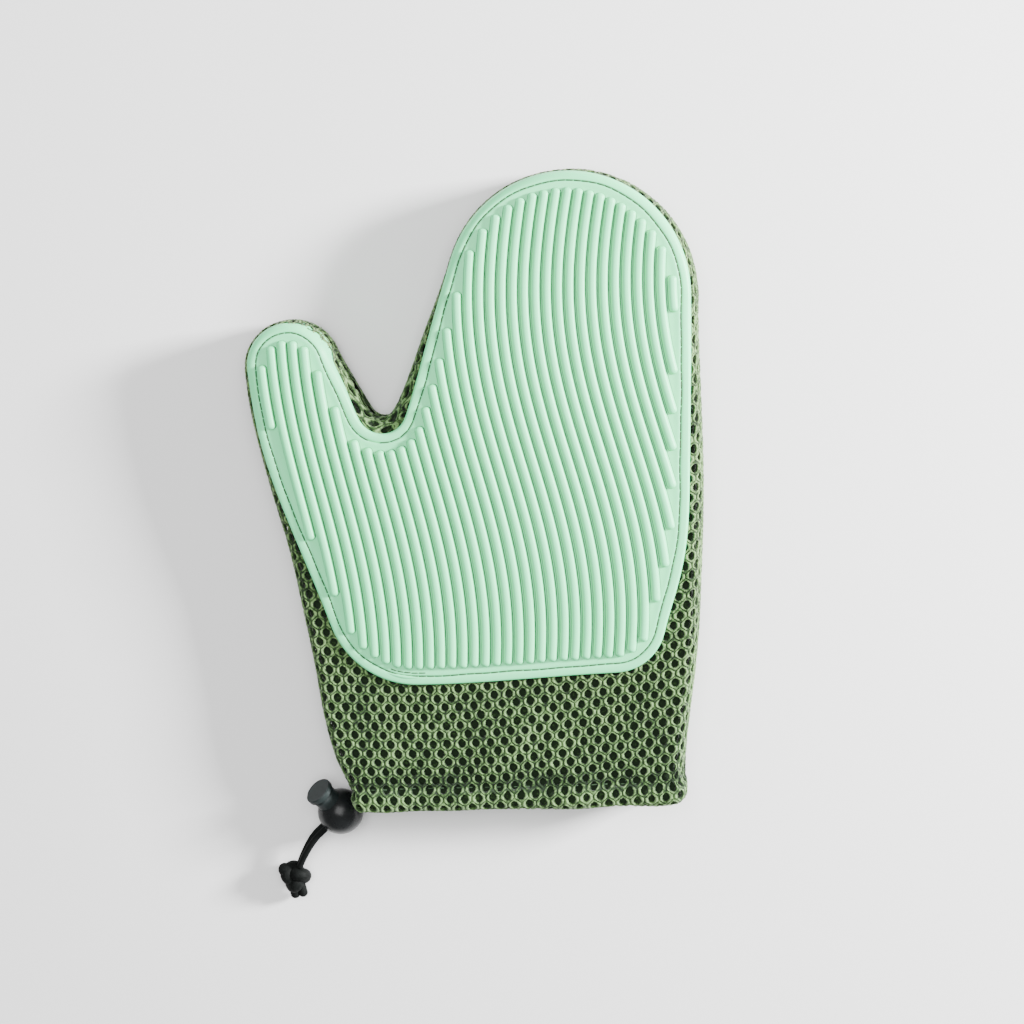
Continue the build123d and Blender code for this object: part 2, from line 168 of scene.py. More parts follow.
class Border:
    """A line in plan with outward normals, and the nearest place on it to any point."""

    def __init__(self, points, closed):
        self.points = points
        self.spacing = np.sqrt(((points[1] - points[0]) ** 2).sum())
        ahead = np.roll(points, -1, axis=0)
        behind = np.roll(points, 1, axis=0)
        if not closed:
            ahead[-1] = points[-1]
            behind[0] = points[0]
        along = ahead - behind
        along /= np.sqrt((along**2).sum(axis=1))[:, None]
        self.normals = np.column_stack([along[:, 1], -along[:, 0]])
        self.tree = kdtree.KDTree(len(points))
        for index, point in enumerate(points):
            self.tree.insert((*point, 0), index)
        self.tree.balance()

    def nearest(self, places):
        """Base point on the line, outward normal, distance past the line, and place number."""
        index = np.array([self.tree.find((x, y, 0))[1] for x, y in places])
        normal = self.normals[index]
        over = ((places - self.points[index]) * normal).sum(axis=1)
        return places - over[:, None] * normal, normal, over, index

    def at(self, number, over):
        """The same four, for places given by place number and distance past the line."""
        number = np.clip(number, 0, len(self.points) - 1.001)
        whole = number.astype(int)
        share = (number - whole)[:, None]
        base = self.points[whole] * (1 - share) + self.points[whole + 1] * share
        normal = self.normals[whole] * (1 - share) + self.normals[whole + 1] * share
        return base, normal, over, whole


def mitt_border():
    """Edge of the mitt's flat back, left open at the cuff and run on below it."""
    loop = face_outline("back_panel", MITT_LOW[2])[:-1]
    start = int(np.argmin(-loop[:, 0] + 3 * loop[:, 1]))
    line = np.roll(loop, -start, axis=0)
    first, last = line[0], line[-1]
    if abs(last[1] - CUFF_Y) > 0.5:
        last = line[int(np.argmin(line[:, 0] + 3 * line[:, 1]))]
    below = np.array([0, -BORDER_BELOW])
    line = np.vstack([first + below, line, last + below])
    return Border(averaged(resampled(line, 0.5), 3, "edge"), closed=False)


def pad_border():
    """Edge of the silicone pad."""
    line = resampled(face_outline("silicone_pad", PAD_LOW[2]), 0.8)[:-1]
    return Border(averaged(line, 2, "wrap"), closed=True)


def side_profile():
    """Rows of arc length, reach, drop, outward lean and rise down the side wall to the seam."""
    turn = np.linspace(0, pi / 2, 400)
    depth = TOP - MIDDLE
    reach = SHOULDER_OUT * np.sin(turn) ** (2 / SHOULDER_POWER)
    drop = depth - depth * np.cos(turn) ** (2 / SHOULDER_POWER)
    reach = reach - SEAM_PINCH * np.exp(-(((depth - drop) / SEAM_SPREAD) ** 2))
    steps = np.hypot(np.diff(reach), np.diff(drop))
    arc = np.concatenate([[0], np.cumsum(steps)])
    even = np.linspace(0, arc[-1], 160)
    reach = np.interp(even, arc, reach)
    drop = np.interp(even, arc, drop)
    lean = np.gradient(drop, even)
    rise = np.gradient(reach, even)
    size = np.hypot(lean, rise)
    return np.column_stack([even, reach, drop, lean / size, rise / size])


MITT = mitt_border()
PAD = pad_border()
PROFILE = side_profile()
SEAM = PROFILE[-1, 0]  # arc length from the flat to the side seam


HEM_PROFILE = (
    (-124, 0.2), (-118, 0.6), (-115, 0.75), (-113, 0.5),
    (-111.4, -1.7), (-109.8, -1.5), (-105, -0.7), (-98, 0.0),
)  # Y and height of the cloth over the stitched hem


def swell(ground, over):
    """Height of the loose fabric above the plain form: stitched hem, gathers and waves."""
    x, y = ground.T
    hem = np.interp(y, *zip(*HEM_PROFILE))
    hem = hem * (1 - 0.55 * smooth(over / SEAM))
    gather = 0.4 * np.sin(x / 4.1 + 0.8 * np.sin(y / 9)) * np.exp(-np.abs(y + 108) / 9)
    waves = 0.22 * np.sin(x / 10.3 + y / 17) + 0.16 * np.sin(x / 6.1 - y / 8.2 + 1.3)
    return hem + gather + waves * (1 - 0.5 * smooth(over / SEAM)) - 0.1


def ground_of(located):
    """Plan places inside the border, and border places for anything past it."""
    base, normal, over, _ = located
    return base + np.minimum(over, 0)[:, None] * normal


def on_skin(located, lift, side):
    """Points on the mitt's front (side 1) or back (side -1), lifted off the surface."""
    base, normal, over, _ = located
    over = np.minimum(over, SEAM)
    reach, drop, lean, rise = [np.interp(over, PROFILE[:, 0], column) for column in PROFILE.T[1:]]
    reach = np.where(over < 0, over, reach)
    away = np.column_stack([normal * lean[:, None], rise])
    away /= np.sqrt((away**2).sum(axis=1))[:, None]
    ground = ground_of(located)
    depth = np.maximum(0, FOLD_Y - ground[:, 1])
    radius = FOLD - FOLD_THINNING * smooth((over + FOLD_REACH) / (FOLD_REACH + SEAM))
    angle = np.minimum(depth / radius, pi)
    tucked = np.clip(depth - pi * radius, 0, TUCK)
    flat = base + reach[:, None] * normal
    place = np.column_stack([flat[:, 0], flat[:, 1] + depth, TOP - drop])
    place -= away * (radius * (1 - np.cos(angle)))[:, None]
    place[:, 1] += tucked - radius * np.sin(angle)
    facing = away * np.cos(angle)[:, None]
    facing[:, 1] -= np.sin(angle)
    raised = lift + swell(ground, over) * (BACK_CALM if side < 0 else 1)
    raised = np.where(depth > 0, np.maximum(raised, -FOLD_LINING), raised)
    place += facing * raised[:, None]
    if side < 0:
        place[:, 2] = np.maximum(TOP + BOTTOM - place[:, 2], CLEARANCE)
    return place


# ------------------------------------------------------------ materials
class Shading:
    """One procedural material under construction."""

    def __init__(self, name, roughness):
        self.material = bpy.data.materials.new(name)
        self.material.use_nodes = True
        self.nodes = self.material.node_tree.nodes
        self.links = self.material.node_tree.links
        self.shader = self.nodes["Principled BSDF"]
        self.shader.inputs["Roughness"].default_value = roughness
        self.where = self.nodes.new("ShaderNodeTexCoord").outputs["Object"]

    def noise(self, scale, detail=3.0):
        """Noise with that many features per metre."""
        node = self.nodes.new("ShaderNodeTexNoise")
        node.inputs["Scale"].default_value = scale
        node.inputs["Detail"].default_value = detail
        self.links.new(self.where, node.inputs["Vector"])
        return node.outputs["Fac"]

    def attribute(self, name):
        """A value stored on the mesh."""
        node = self.nodes.new("ShaderNodeAttribute")
        node.attribute_name = name
        return node.outputs["Fac"]

    def ramp(self, value, stops):
        """Colours along a value, as (position, colour) pairs."""
        node = self.nodes.new("ShaderNodeValToRGB")
        elements = node.color_ramp.elements
        for element, (position, colour) in zip(elements, (stops[0], stops[-1])):
            element.position = position
            element.color = (*colour, 1)
        for position, colour in stops[1:-1]:
            elements.new(position).color = (*colour, 1)
        self.links.new(value, node.inputs["Fac"])
        return node.outputs["Color"]

    def combine(self, kind, first, second, share=None):
        """Two values through one maths step."""
        node = self.nodes.new("ShaderNodeMath")
        node.operation = kind
        for socket, value in zip(node.inputs, (first, second, share)):
            if isinstance(value, (int, float)):
                socket.default_value = value
            elif value is not None:
                self.links.new(value, socket)
        return node.outputs["Value"]

    def colour(self, output):
        self.links.new(output, self.shader.inputs["Base Color"])

    def roughness(self, output):
        self.links.new(output, self.shader.inputs["Roughness"])

    def bump(self, height, distance, strength=1.0):
        """Relief of that depth in metres."""
        node = self.nodes.new("ShaderNodeBump")
        node.inputs["Distance"].default_value = distance
        node.inputs["Strength"].default_value = strength
        self.links.new(height, node.inputs["Height"])
        self.links.new(node.outputs["Normal"], self.shader.inputs["Normal"])


def knit_material():
    """Green spacer mesh with painted light and shade: pale on the raised strands, painted shade
    between them and on the lining below the holes.
    """
    made = Shading("knit", 0.82)
    made.shader.inputs["Specular IOR Level"].default_value = 0.25
    made.shader.inputs["Sheen Weight"].default_value = 0.15
    fibres = made.noise(1700, 3)
    strands = made.noise(620, 3)
    patches = made.noise(60, 2)
    mottle = made.combine("MULTIPLY_ADD", fibres, 1.0, -0.5)
    mottle = made.combine("MULTIPLY_ADD", strands, 2.0, made.combine("SUBTRACT", mottle, 1.0))
    mottle = made.combine("MULTIPLY_ADD", patches, 0.7, made.combine("SUBTRACT", mottle, 0.35))
    # The stored value is the yarn's random tone with painted light and shade; the noise adds
    # mottling.
    shade = made.combine("ADD", made.attribute("yarn_tone_and_painted_shade"), mottle)
    stops = ((0.05, GREEN_PAINTED_SHADE), (0.45, GREEN_MIDDLE), (1.0, GREEN_LIGHT))
    made.colour(made.ramp(shade, stops))
    made.bump(made.combine("ADD", fibres, strands), 0.0003, 0.9)
    return made.material


def silicone_material():
    """Mint silicone with a soft satin surface, and painted shade: darker down between the ribs,
    full mint on their tops.
    """
    made = Shading("silicone", 0.42)
    cloud = made.combine("MULTIPLY_ADD", made.noise(60, 3), 0.12, -0.06)
    # Painted shade by height: darker towards the floor between the ribs.
    height = made.combine("ADD", made.attribute("painted_shade_height"), cloud)
    made.colour(made.ramp(height, ((0.1, MINT_PAINTED_SHADE), (0.7, MINT))))
    made.shader.inputs["Subsurface Weight"].default_value = 0.05
    made.shader.inputs["Subsurface Radius"].default_value = (0.4, 1.0, 0.6)
    made.shader.inputs["Subsurface Scale"].default_value = 0.0012
    grain = made.noise(2600, 2)
    made.roughness(made.ramp(grain, ((0.2, (0.38,) * 3), (0.8, (0.5,) * 3))))
    made.bump(grain, 0.00002, 0.5)
    return made.material


def thread_material(name, colour):
    """Twisted sewing thread."""
    made = Shading(name, 0.7)
    fibres = made.noise(3500, 3)
    pale = tuple(min(1, channel * 1.9 + 0.01) for channel in colour)
    made.colour(made.ramp(fibres, ((0.3, colour), (0.75, pale))))
    made.bump(fibres, 0.00015, 0.8)
    return made.material


def cord_material():
    """Black braided polyester."""
    made = Shading("braid", 0.62)
    fibres = made.noise(3000, 3)
    worn = tuple(channel * 3.2 for channel in BLACK)
    made.colour(made.ramp(fibres, ((0.35, BLACK), (0.8, worn))))
    made.shader.inputs["Specular IOR Level"].default_value = 0.08
    made.bump(fibres, 0.00012, 0.7)
    return made.material


def plastic_material(name, colour, low, high):
    """Moulded plastic with faint unevenness in its shine."""
    made = Shading(name, low)
    made.shader.inputs["Specular IOR Level"].default_value = 0.22
    patches = made.noise(180, 4)
    made.roughness(made.ramp(patches, ((0.3, (low,) * 3), (0.75, (high,) * 3))))
    lighter = tuple(channel * 1.25 for channel in colour)
    made.colour(made.ramp(made.noise(900, 2), ((0.3, colour), (0.7, lighter))))
    made.bump(made.noise(1400, 2), 0.00001, 0.4)
    return made.material


def steel_material():
    """Drawn spring wire."""
    made = Shading("spring_wire", 0.3)
    made.shader.inputs["Metallic"].default_value = 1
    streaks = made.noise(2200, 2)
    made.colour(made.ramp(streaks, ((0.3, (0.42, 0.42, 0.43)), (0.7, (0.62, 0.62, 0.63)))))
    made.bump(streaks, 0.00001, 0.4)
    return made.material


KNIT = knit_material()
SILICONE = silicone_material()
PAD_THREAD = thread_material("pad_thread", THREAD_GREEN)
SEAM_THREAD = thread_material("seam_thread", SEAM_GREEN)
TAPE = thread_material("tape", TAPE_GREEN)
BRAID = cord_material()


# ------------------------------------------------------------ making pieces
def piece(name, vertices, faces, material, body, flat=False):
    """A mesh object from millimetre points, riding a body."""
    mesh = bpy.data.meshes.new(name)
    mesh.from_pydata((np.asarray(vertices) * MM).tolist(), [], [tuple(face) for face in faces])
    mesh.polygons.foreach_set("use_smooth", [not flat] * len(mesh.polygons))
    mesh.materials.append(material)
    mesh.update()
    made = bpy.data.objects.new(name, mesh)
    bpy.context.collection.objects.link(made)
    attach(made, body)
    return made


def joined(parts):
    """Several (vertices, faces) as one."""
    vertices = []
    faces = []
    count = 0
    for points, polygons in parts:
        vertices.append(np.asarray(points, float))
        faces.extend([[index + count for index in polygon] for polygon in polygons])
        count += len(points)
    return np.vstack(vertices), faces


def grid_faces(rows, columns, closed):
    """Quads over a grid of points, wrapped round along each row if closed."""
    faces = []
    for row in range(rows - 1):
        for column in range(columns if closed else columns - 1):
            right = (column + 1) % columns
            low = row * columns
            high = low + columns
            faces.append((low + column, low + right, high + right, high + column))
    return faces


def frames_along(line):
    """Two directions across a line at each point, turning as little as possible."""
    along = np.gradient(line, axis=0)
    along /= np.sqrt((along**2).sum(axis=1))[:, None]
    side = np.cross(along[0], (0.31, 0.17, 0.93))
    sides = []
    for direction in along:
        side = side - direction * side.dot(direction)
        side = side / sqrt(side.dot(side))
        sides.append(side)
    sides = np.array(sides)
    return sides, np.cross(along, sides)


def tube(line, radius, around, relief=None, rounding=0.0):
    """A closed tube along a line; relief gives its radius share by angle and arc length.

    Its ends are rounded over that share of its radius.
    """
    line = np.asarray(line, float)
    sides, ups = frames_along(line)
    steps = np.sqrt((np.diff(line, axis=0) ** 2).sum(axis=1))
    arc = np.concatenate([[0], np.cumsum(steps)])
    turn = np.linspace(0, 2 * pi, around, endpoint=False)
    size = np.full((len(line), around), float(radius))
    if relief:
        size = size * relief(turn[None, :], arc[:, None])
    to_end = np.minimum(arc, arc[-1] - arc) / (rounding * radius + 1e-6)
    size *= np.sqrt(1 - (0.95 - 0.95 * np.minimum(to_end, 1)) ** 2)[:, None]
    ring = np.cos(turn)[None, :, None] * sides[:, None, :]
    ring = ring + np.sin(turn)[None, :, None] * ups[:, None, :]
    points = line[:, None, :] + ring * size[:, :, None]
    faces = grid_faces(len(line), around, True)
    faces.append(list(range(around))[::-1])
    last = (len(line) - 1) * around
    faces.append([last + index for index in range(around)])
    return points.reshape(-1, 3), faces


def stitch(start, end, radius, bow=0.0):
    """One short thread from start to end, rounded at both ends."""
    shares = np.array([0, 0.08, 0.3, 0.7, 0.92, 1])
    start = np.asarray(start, float)
    line = start + shares[:, None] * (np.asarray(end, float) - start)
    line[:, 2] += bow * np.sin(pi * shares)
    return tube(line, radius, 7, rounding=0.9)


# ------------------------------------------------------------ spacer mesh
def cell_template(steps, rings):
    """One cell as weights: border offsets, hole offsets, share, lift, shade (painted light and
    shade by height) and angle.
    """
    half = PITCH / 2
    side = (ROW**2 - half**2) / (2 * ROW)
    peak = (ROW**2 + half**2) / (2 * ROW)
    right = [(half, -side), (half, side), (0, peak)]
    corners = np.array(right + [(-x, -y) for x, y in right])
    following = np.roll(corners, -1, axis=0)
    shares = np.arange(steps)[:, None] / steps
    border = np.vstack([a + shares * (b - a) for a, b in zip(corners, following)])
    angle = np.arctan2(border[:, 1], border[:, 0])
    size = 1 / np.sqrt((np.cos(angle) / HOLE[0]) ** 2 + (np.sin(angle) / HOLE[1]) ** 2)
    hole = np.column_stack([np.cos(angle), np.sin(angle)]) * size[:, None]
    column = np.ones((len(border), 1))
    rows = []
    for share, lift, shade, twist in rings:
        weights = column * (share, lift, shade)
        rows.append(np.column_stack([border, hole, weights, angle, twist * column]))
    # The lining below the holes takes the lowest value: painted shade.
    lining = np.ones((len(corners), 1)) * (0, 0, 1, -LINING_DEPTH, 0, 0, 0)
    rows.append(np.column_stack([corners, lining]))
    faces = grid_faces(len(rings), len(border), True)
    floor = len(rings) * len(border)
    bottom = [floor + index for index in range(len(corners))]
    return np.vstack(rows), [face[::-1] for face in faces], bottom


# Rings of a cell from its hole to its border: share, lift, shade and twist. The shade is painted
# light and shade by height: pale on the raised yarn, dark down the hole and at the border.
FINE = (
    (0, -1.0, 0.05, 0), (0.02, -0.3, 0.3, 0.3), (0.28, 0.2, 0.95, 1),
    (0.66, 0.16, 0.75, 1), (1, -0.2, 0.25, 0),
)
PLAIN = (
    (0, -0.9, 0.05, 0), (0.04, -0.1, 0.5, 0.3),
    (0.45, 0.22, 0.9, 1), (1, -0.18, 0.25, 0),
)


def bowed(places):
    """The rows of the mesh sag towards the middle of the cuff, as the fabric lies."""
    x, y = places.T
    sag = ROW_SAG * np.log(np.cosh((x - SAG_CENTRE) / SAG_WIDTH))
    return np.column_stack([x, y + sag])


def lattice(low, high):
    """Cell centres of the staggered mesh over a plan rectangle."""
    rows = np.arange(int(low[1] // ROW), int(high[1] // ROW) + 1)
    columns = np.arange(int(low[0] // PITCH), int(high[0] // PITCH) + 1)
    sites = [((column + 0.5 * (row % 2)) * PITCH, row * ROW) for row in rows for column in columns]
    return np.array(sites, float)


def in_crotch(base):
    """True where the flat's edge runs round the bottom of the gap beside the thumb."""
    return ((base > CROTCH_LOW) & (base < CROTCH_HIGH)).all(axis=1)


def knit_cells(centres, warp, locate, side, steps, rings, seed):
    """Vertices, faces and shade values of the mesh cells at these centres: painted light and shade
    by height, with random tone.

    warp bends the flat lattice, and locate gives each place on the mitt.
    """
    plan, faces, floor = cell_template(steps, rings)
    border_offset, hole_offset = plan[None, :, 0:2], plan[None, :, 2:4]
    share, lifts, shades, angle, twists = plan[:, 4:].T
    rng = np.random.default_rng(seed)
    count = len(centres)
    size = rng.uniform(0.9, 1.08, (count, 1, 1))
    shift = rng.uniform(-0.16, 0.16, (count, 1, 2))
    outward = share[None, :, None]
    places = centres[:, None, :] + outward * border_offset
    ragged = 1 + 0.075 * rng.standard_normal((count, len(plan), 1))
    places = places + (1 - outward) * (hole_offset * size * ragged + shift)
    phase = rng.uniform(0, 2 * pi, (count, 1))
    twist = np.sin(5 * angle[None, :] + phase) * twists[None, :]
    lift = lifts[None, :] + 0.07 * twist
    beside = np.abs(np.cos(angle))
    ridge = twists > 0.9
    border = (share == 1) & (lifts > -1)
    # Painted light and shade by height from the rings; the sides of each hole are paler and the
    # border between side-by-side holes is darker.
    tone = shades + ridge * 0.55 * (beside - 0.65) + border * 0.35 * (0.6 - beside)
    shade = tone[None, :] + 0.12 * twist + rng.uniform(-0.08, 0.08, (count, 1))
    located = locate(warp(places.reshape(-1, 2)))
    over = located[2].reshape(count, -1)
    number = located[3].reshape(count, -1)
    level = ground_of(located)[:, 1].reshape(count, -1)
    # Painted shade in the valley above the hem stitching.
    valley = (level - HEM_THREAD_Y - HEM_SHADE_UP) / HEM_SHADE_WIDTH
    shade = shade - HEM_PAINTED_SHADE * np.exp(-(valley**2))
    # Painted light on the raised hem band below the stitching.
    shade = shade + BAND_PAINTED_LIGHT * (level < HEM_THREAD_Y - BAND_DOWN) - 0.12
    jump = (over.max(axis=1) > 0.5) & (np.ptp(number, axis=1) * MITT.spacing > 14)
    points = on_skin(located, lift.reshape(-1), side).reshape(count, -1, 3)[~jump]
    shade = shade[~jump]
    kept = [face[::side] for face in faces + [floor]]
    polygons = []
    for start in range(0, len(points) * len(plan), len(plan)):
        polygons.extend([start + index for index in face] for face in kept)
    return points.reshape(-1, 3), polygons, shade.reshape(-1)


def mesh_piece(name, groups, node):
    """One piece of spacer mesh from several groups of cells."""
    vertices, faces = joined([(points, polygons) for points, polygons, _ in groups])
    made = piece(name, vertices, faces, KNIT, "mitt")
    # Stored for the material: the yarn's random tone with painted light and shade.
    shade = made.data.attributes.new("yarn_tone_and_painted_shade", "FLOAT", "POINT")
    shade.data.foreach_set("value", np.concatenate([group[2] for group in groups]))
    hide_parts(node)
    return made


def sheet_sites():
    """Cell centres over the mitt, kept up to the side seam."""
    sites = lattice((-108, CUFF_Y - 25), (108, 150))
    located = MITT.nearest(bowed(sites))
    base, _, over, _ = located
    low_enough = ground_of(located)[:, 1] > CUFF_Y - 15
    kept = low_enough & (over < SEAM - 0.6) & ~(in_crotch(base) & (over > 0.8))
    return sites[kept]


def crotch_sites():
    """Cell centres in place number and distance, round the bottom of the gap."""
    numbers = np.nonzero(in_crotch(MITT.points))[0]
    reach = (numbers[-1] - numbers[0]) * MITT.spacing / CROTCH_STRETCH
    sites = lattice((0, 0), (reach, SEAM))
    return sites[sites[:, 1] < SEAM - 0.5], numbers[0]


def make_mesh():
    """Front and back of the mitt, each in a lower and an upper piece."""
    sites = sheet_sites()
    edge, start = crotch_sites()
    under_pad = PAD.nearest(bowed(sites))[2] < -UNDER_PAD

    def round_gap(places):
        return MITT.at(start + places[:, 0] * CROTCH_STRETCH / MITT.spacing, places[:, 1])

    def plain(places):
        return places

    for side, label, steps, rings in ((1, "front", 4, FINE), (-1, "back", 3, PLAIN)):
        shown = ~under_pad if side > 0 else np.ones(len(sites), bool)
        low = bowed(sites)[:, 1] < SPLIT_Y
        node = label + "_panel"
        look = (side, steps, rings)
        lower = knit_cells(sites[shown & low], bowed, MITT.nearest, *look, 3 + side)
        mesh_piece(f"mesh_{label}_low", [lower], node)
        upper = knit_cells(sites[shown & ~low], bowed, MITT.nearest, *look, 7 + side)
        round_thumb = knit_cells(edge, plain, round_gap, *look, 11 + side)
        mesh_piece(f"mesh_{label}_high", [upper, round_thumb], node)


# ------------------------------------------------------------ silicone pad
# Distance in from the pad's edge and height, out to in, over the thread groove to the floor
RIM = (
    (0.0, -1.9), (0.0, -1.3), (0.12, -0.6), (0.45, -0.18), (1.0, -0.02), (2.2, 0.0),
    (3.0, -0.02), (3.2, -0.12), (3.34, -0.5), (3.66, -0.5), (3.8, -0.14), (4.1, -0.08),
    (5.0, -0.14), (5.9, -0.24), (6.6, -0.26),
)
RIM_TOP = PAD_LOW[2] + 1.6
PAD_FLOOR = RIM_TOP - 0.26
THREAD_LEVEL = RIM_TOP - 0.34
THREAD_INSET, OVERLAP_INSET = 3.5, 4.75  # the line of stitches, and its doubled stretch
PAD_STITCH = 3.1
RIB_INSET = 6.0
SHORTEST_RIB = 7
RIB_PITCH, RIB_START, RIB_NUMBERS = 4.242, -61.7, range(-2, 37)
RIB_LEAN, LEAN_STEP = -0.0264, 0.00059
WAVE, WAVE_GROWTH = 5.89, 0.0912
WAVE_FROM, WAVE_STEP, HALF_WAVE = 3.73, 0.4778, 105.17
RIB_HALF = (2.0, 1.86, 1.76, 1.58, 1.14, 0.6, 0.0)
RIB_RISE = (-0.05, 0.12, 0.62, 1.25, 1.83, 2.08, 2.14)


def rib_middle(number, y):
    """Middle of one rib at height y, as in the solid model."""
    wave = np.sin(pi * (y - WAVE_FROM - WAVE_STEP * number) / HALF_WAVE)
    lean = RIB_LEAN + LEAN_STEP * number
    return RIB_START + RIB_PITCH * number + lean * y - (WAVE + WAVE_GROWTH * number) * wave


def droop(places):
    """How far the pad's edge sinks over the mitt's rounded edge."""
    over = MITT.nearest(places)[2]
    return 0.75 * np.interp(np.maximum(over, 0), PROFILE[:, 1], PROFILE[:, 2])


def wander(arc):
    """The stitched line strays a little from even."""
    return 0.12 * np.sin(arc / 7.3) + 0.08 * np.sin(arc / 2.9 + 1)


def pad_rim():
    """The pad's flat rim, thread groove and the floor that the ribs stand on."""
    arc = np.arange(len(PAD.points)) * PAD.spacing
    rows = []
    for inset, rise in RIM:
        stray = wander(arc) * (2.9 < inset < 4.5)
        flat = PAD.points - PAD.normals * (inset + stray)[:, None]
        rows.append(np.column_stack([flat, RIM_TOP + rise - droop(flat)]))
    count = len(PAD.points)
    faces = grid_faces(len(rows), count, True)
    last = (len(rows) - 1) * count
    faces.append([last + index for index in range(count)])
    faces.append(list(range(count))[::-1])
    return np.vstack(rows), faces


def rib_runs(number):
    """Stretches of Y where a rib stands on the pad."""
    heights = np.arange(PAD_LOW[1], PAD_HIGH[1], 0.25)
    middle = np.column_stack([rib_middle(number, heights), heights])
    inside = PAD.nearest(middle)[2] < -RIB_INSET
    edges = np.nonzero(np.diff(np.concatenate([[0], inside.astype(int), [0]])))[0]
    runs = [(heights[a], heights[b - 1]) for a, b in zip(edges[::2], edges[1::2])]
    return [(low, high) for low, high in runs if high - low > SHORTEST_RIB]


def rib(number, low, high):
    """One round-topped rib with rounded ends and a small foot."""
    tips = np.array([0.0, 0.08, 0.25, 0.5, 0.85, 1.3, 1.9])
    count = max(3, round((high - low - 4) / 1.15))
    middle = np.linspace(low + 2.5, high - 2.5, count)
    heights = np.concatenate([low + tips, middle, high - tips[::-1]])
    from_end = np.minimum(heights - low, high - heights)
    narrow = np.sqrt(1 - np.clip(1 - from_end / 1.4, 0, 1) ** 2)
    lower = np.sqrt(1 - np.clip(1 - from_end / 1.7, 0, 1) ** 2.6)
    half = np.array(RIB_HALF + tuple(-x for x in RIB_HALF[-2::-1]))
    rise = np.array(RIB_RISE + RIB_RISE[-2::-1])
    x = rib_middle(number, heights)
    lean = np.gradient(x, heights)
    across = 1 / np.sqrt(1 + lean**2)
    along_x = x[:, None] + half[None, :] * (narrow * across)[:, None]
    along_y = heights[:, None] - half[None, :] * (narrow * across * lean)[:, None]
    up = PAD_FLOOR + rise[None, :] * lower[:, None]
    points = np.stack([along_x, along_y, up], axis=2)
    faces = grid_faces(len(heights), len(half), False)
    return points.reshape(-1, 3), [face[::-1] for face in faces]


def loose_sliver(centre):
    """A thin raised crescent where the rim's two ends of stitching overlap."""
    reach = 18
    numbers = centre + np.linspace(-reach / 2, reach / 2, 25)
    swing = np.cos(np.linspace(-pi / 2, pi / 2, 25))
    rows = []
    for share, rise in ((-0.5, -0.2), (-0.4, 0.14), (0, 0.2), (0.4, 0.14), (0.5, -0.2)):
        inset = 3.0 + share * (0.15 + 1.2 * swing)
        base, normal, _, _ = PAD.at(numbers, numbers * 0)
        flat = base - normal * inset[:, None]
        rows.append(np.column_stack([flat, RIM_TOP + rise * swing - droop(flat)]))
    return np.vstack(rows), grid_faces(5, 25, False)


def overlap_place():
    """Place number on the pad's edge where its stitching starts and ends."""
    offset = PAD.points - np.array([-31.0, PAD_LOW[1] + 3])
    return int(np.argmin((offset**2).sum(axis=1)))


def make_pad():
    """The ribbed silicone pad."""
    parts = [pad_rim(), loose_sliver(overlap_place())]
    for number in RIB_NUMBERS:
        parts.extend(rib(number, low, high) for low, high in rib_runs(number))
    vertices, faces = joined(parts)
    made = piece("pad", vertices, faces, SILICONE, "mitt")
    # Painted shade by height on the ribs: darkest at their foot, full mint on top; the rim and
    # floor take a middle value.
    painted_shade_height = np.full(len(vertices), 0.75)
    on_rib = np.arange(len(vertices)) >= sum(len(points) for points, _ in parts[:2])
    painted_shade_height[on_rib] = np.clip((vertices[on_rib, 2] - PAD_FLOOR) / 1.5, 0, 1)
    stored = made.data.attributes.new("painted_shade_height", "FLOAT", "POINT")
    stored.data.foreach_set("value", painted_shade_height)
    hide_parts("silicone_pad")


def make_pad_stitches():
    """The pad's thread, one stitch after another in its groove."""
    length = len(PAD.points) * PAD.spacing
    count = round(length / PAD_STITCH)
    rng = np.random.default_rng(5)
    start = overlap_place()
    once_round = np.arange(count) * length / count / PAD.spacing
    doubled = np.arange(-2, 3) * PAD_STITCH / PAD.spacing
    runs = [(start + place, THREAD_INSET) for place in once_round]
    runs += [(start + place, OVERLAP_INSET) for place in doubled]
    parts = []
    for place, inset in runs:
        ends = np.array([place, place + rng.uniform(2.75, 3.0) / PAD.spacing])
        ends = ends % (len(PAD.points) - 1)
        base, normal, _, _ = PAD.at(ends, ends * 0)
        stray = wander(ends * PAD.spacing) + rng.uniform(-0.05, 0.05, 2)
        flat = base - normal * (inset + stray)[:, None]
        if ((flat[0] - flat[1]) ** 2).sum() > 16:
            continue
        level = THREAD_LEVEL - droop(flat) + (0.15 if inset > 4 else 0)
        parts.append(stitch((*flat[0], level[0]), (*flat[1], level[1]), 0.23, 0.12))
    vertices, faces = joined(parts)
    made = piece("pad_stitches", vertices, faces, PAD_THREAD, "mitt")
    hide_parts("pad_stitching")


# ------------------------------------------------------------ seams and hem
HEM_STITCH, HEM_THREAD = 3.7, 2.7  # from one stitch to the next, and its length
SEAM_STITCH = 2.6
TAPE_X = -49.6
TAPE_HALF, TAPE_THICK = 1.55, 0.3
TAPE_DROOP = ((-104, 8.5), (-108, 7.0), (-112, 3.6), (-117, 3.1), (-120, 3.0))  # Y and Z


def make_hem_stitches():
    """Running stitches that hold down the folded hem, front and back."""
    rng = np.random.default_rng(9)
    parts = []
    for side in (1, -1):
        for x in np.arange(MITT.points[-1, 0] + 1, MITT.points[0, 0] - 3, HEM_STITCH):
            stray = rng.uniform(-0.15, 0.15)
            ends = np.array([(x, HEM_THREAD_Y), (x + HEM_THREAD, HEM_THREAD_Y + stray)])
            lifts = np.array([-0.4, -0.4])
            first, second = on_skin(MITT.nearest(ends), lifts, side)
            parts.append(stitch(first, second, 0.27))
    vertices, faces = joined(parts)
    made = piece("hem_stitches", vertices, faces, SEAM_THREAD, "mitt")
    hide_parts("hem_stitching")


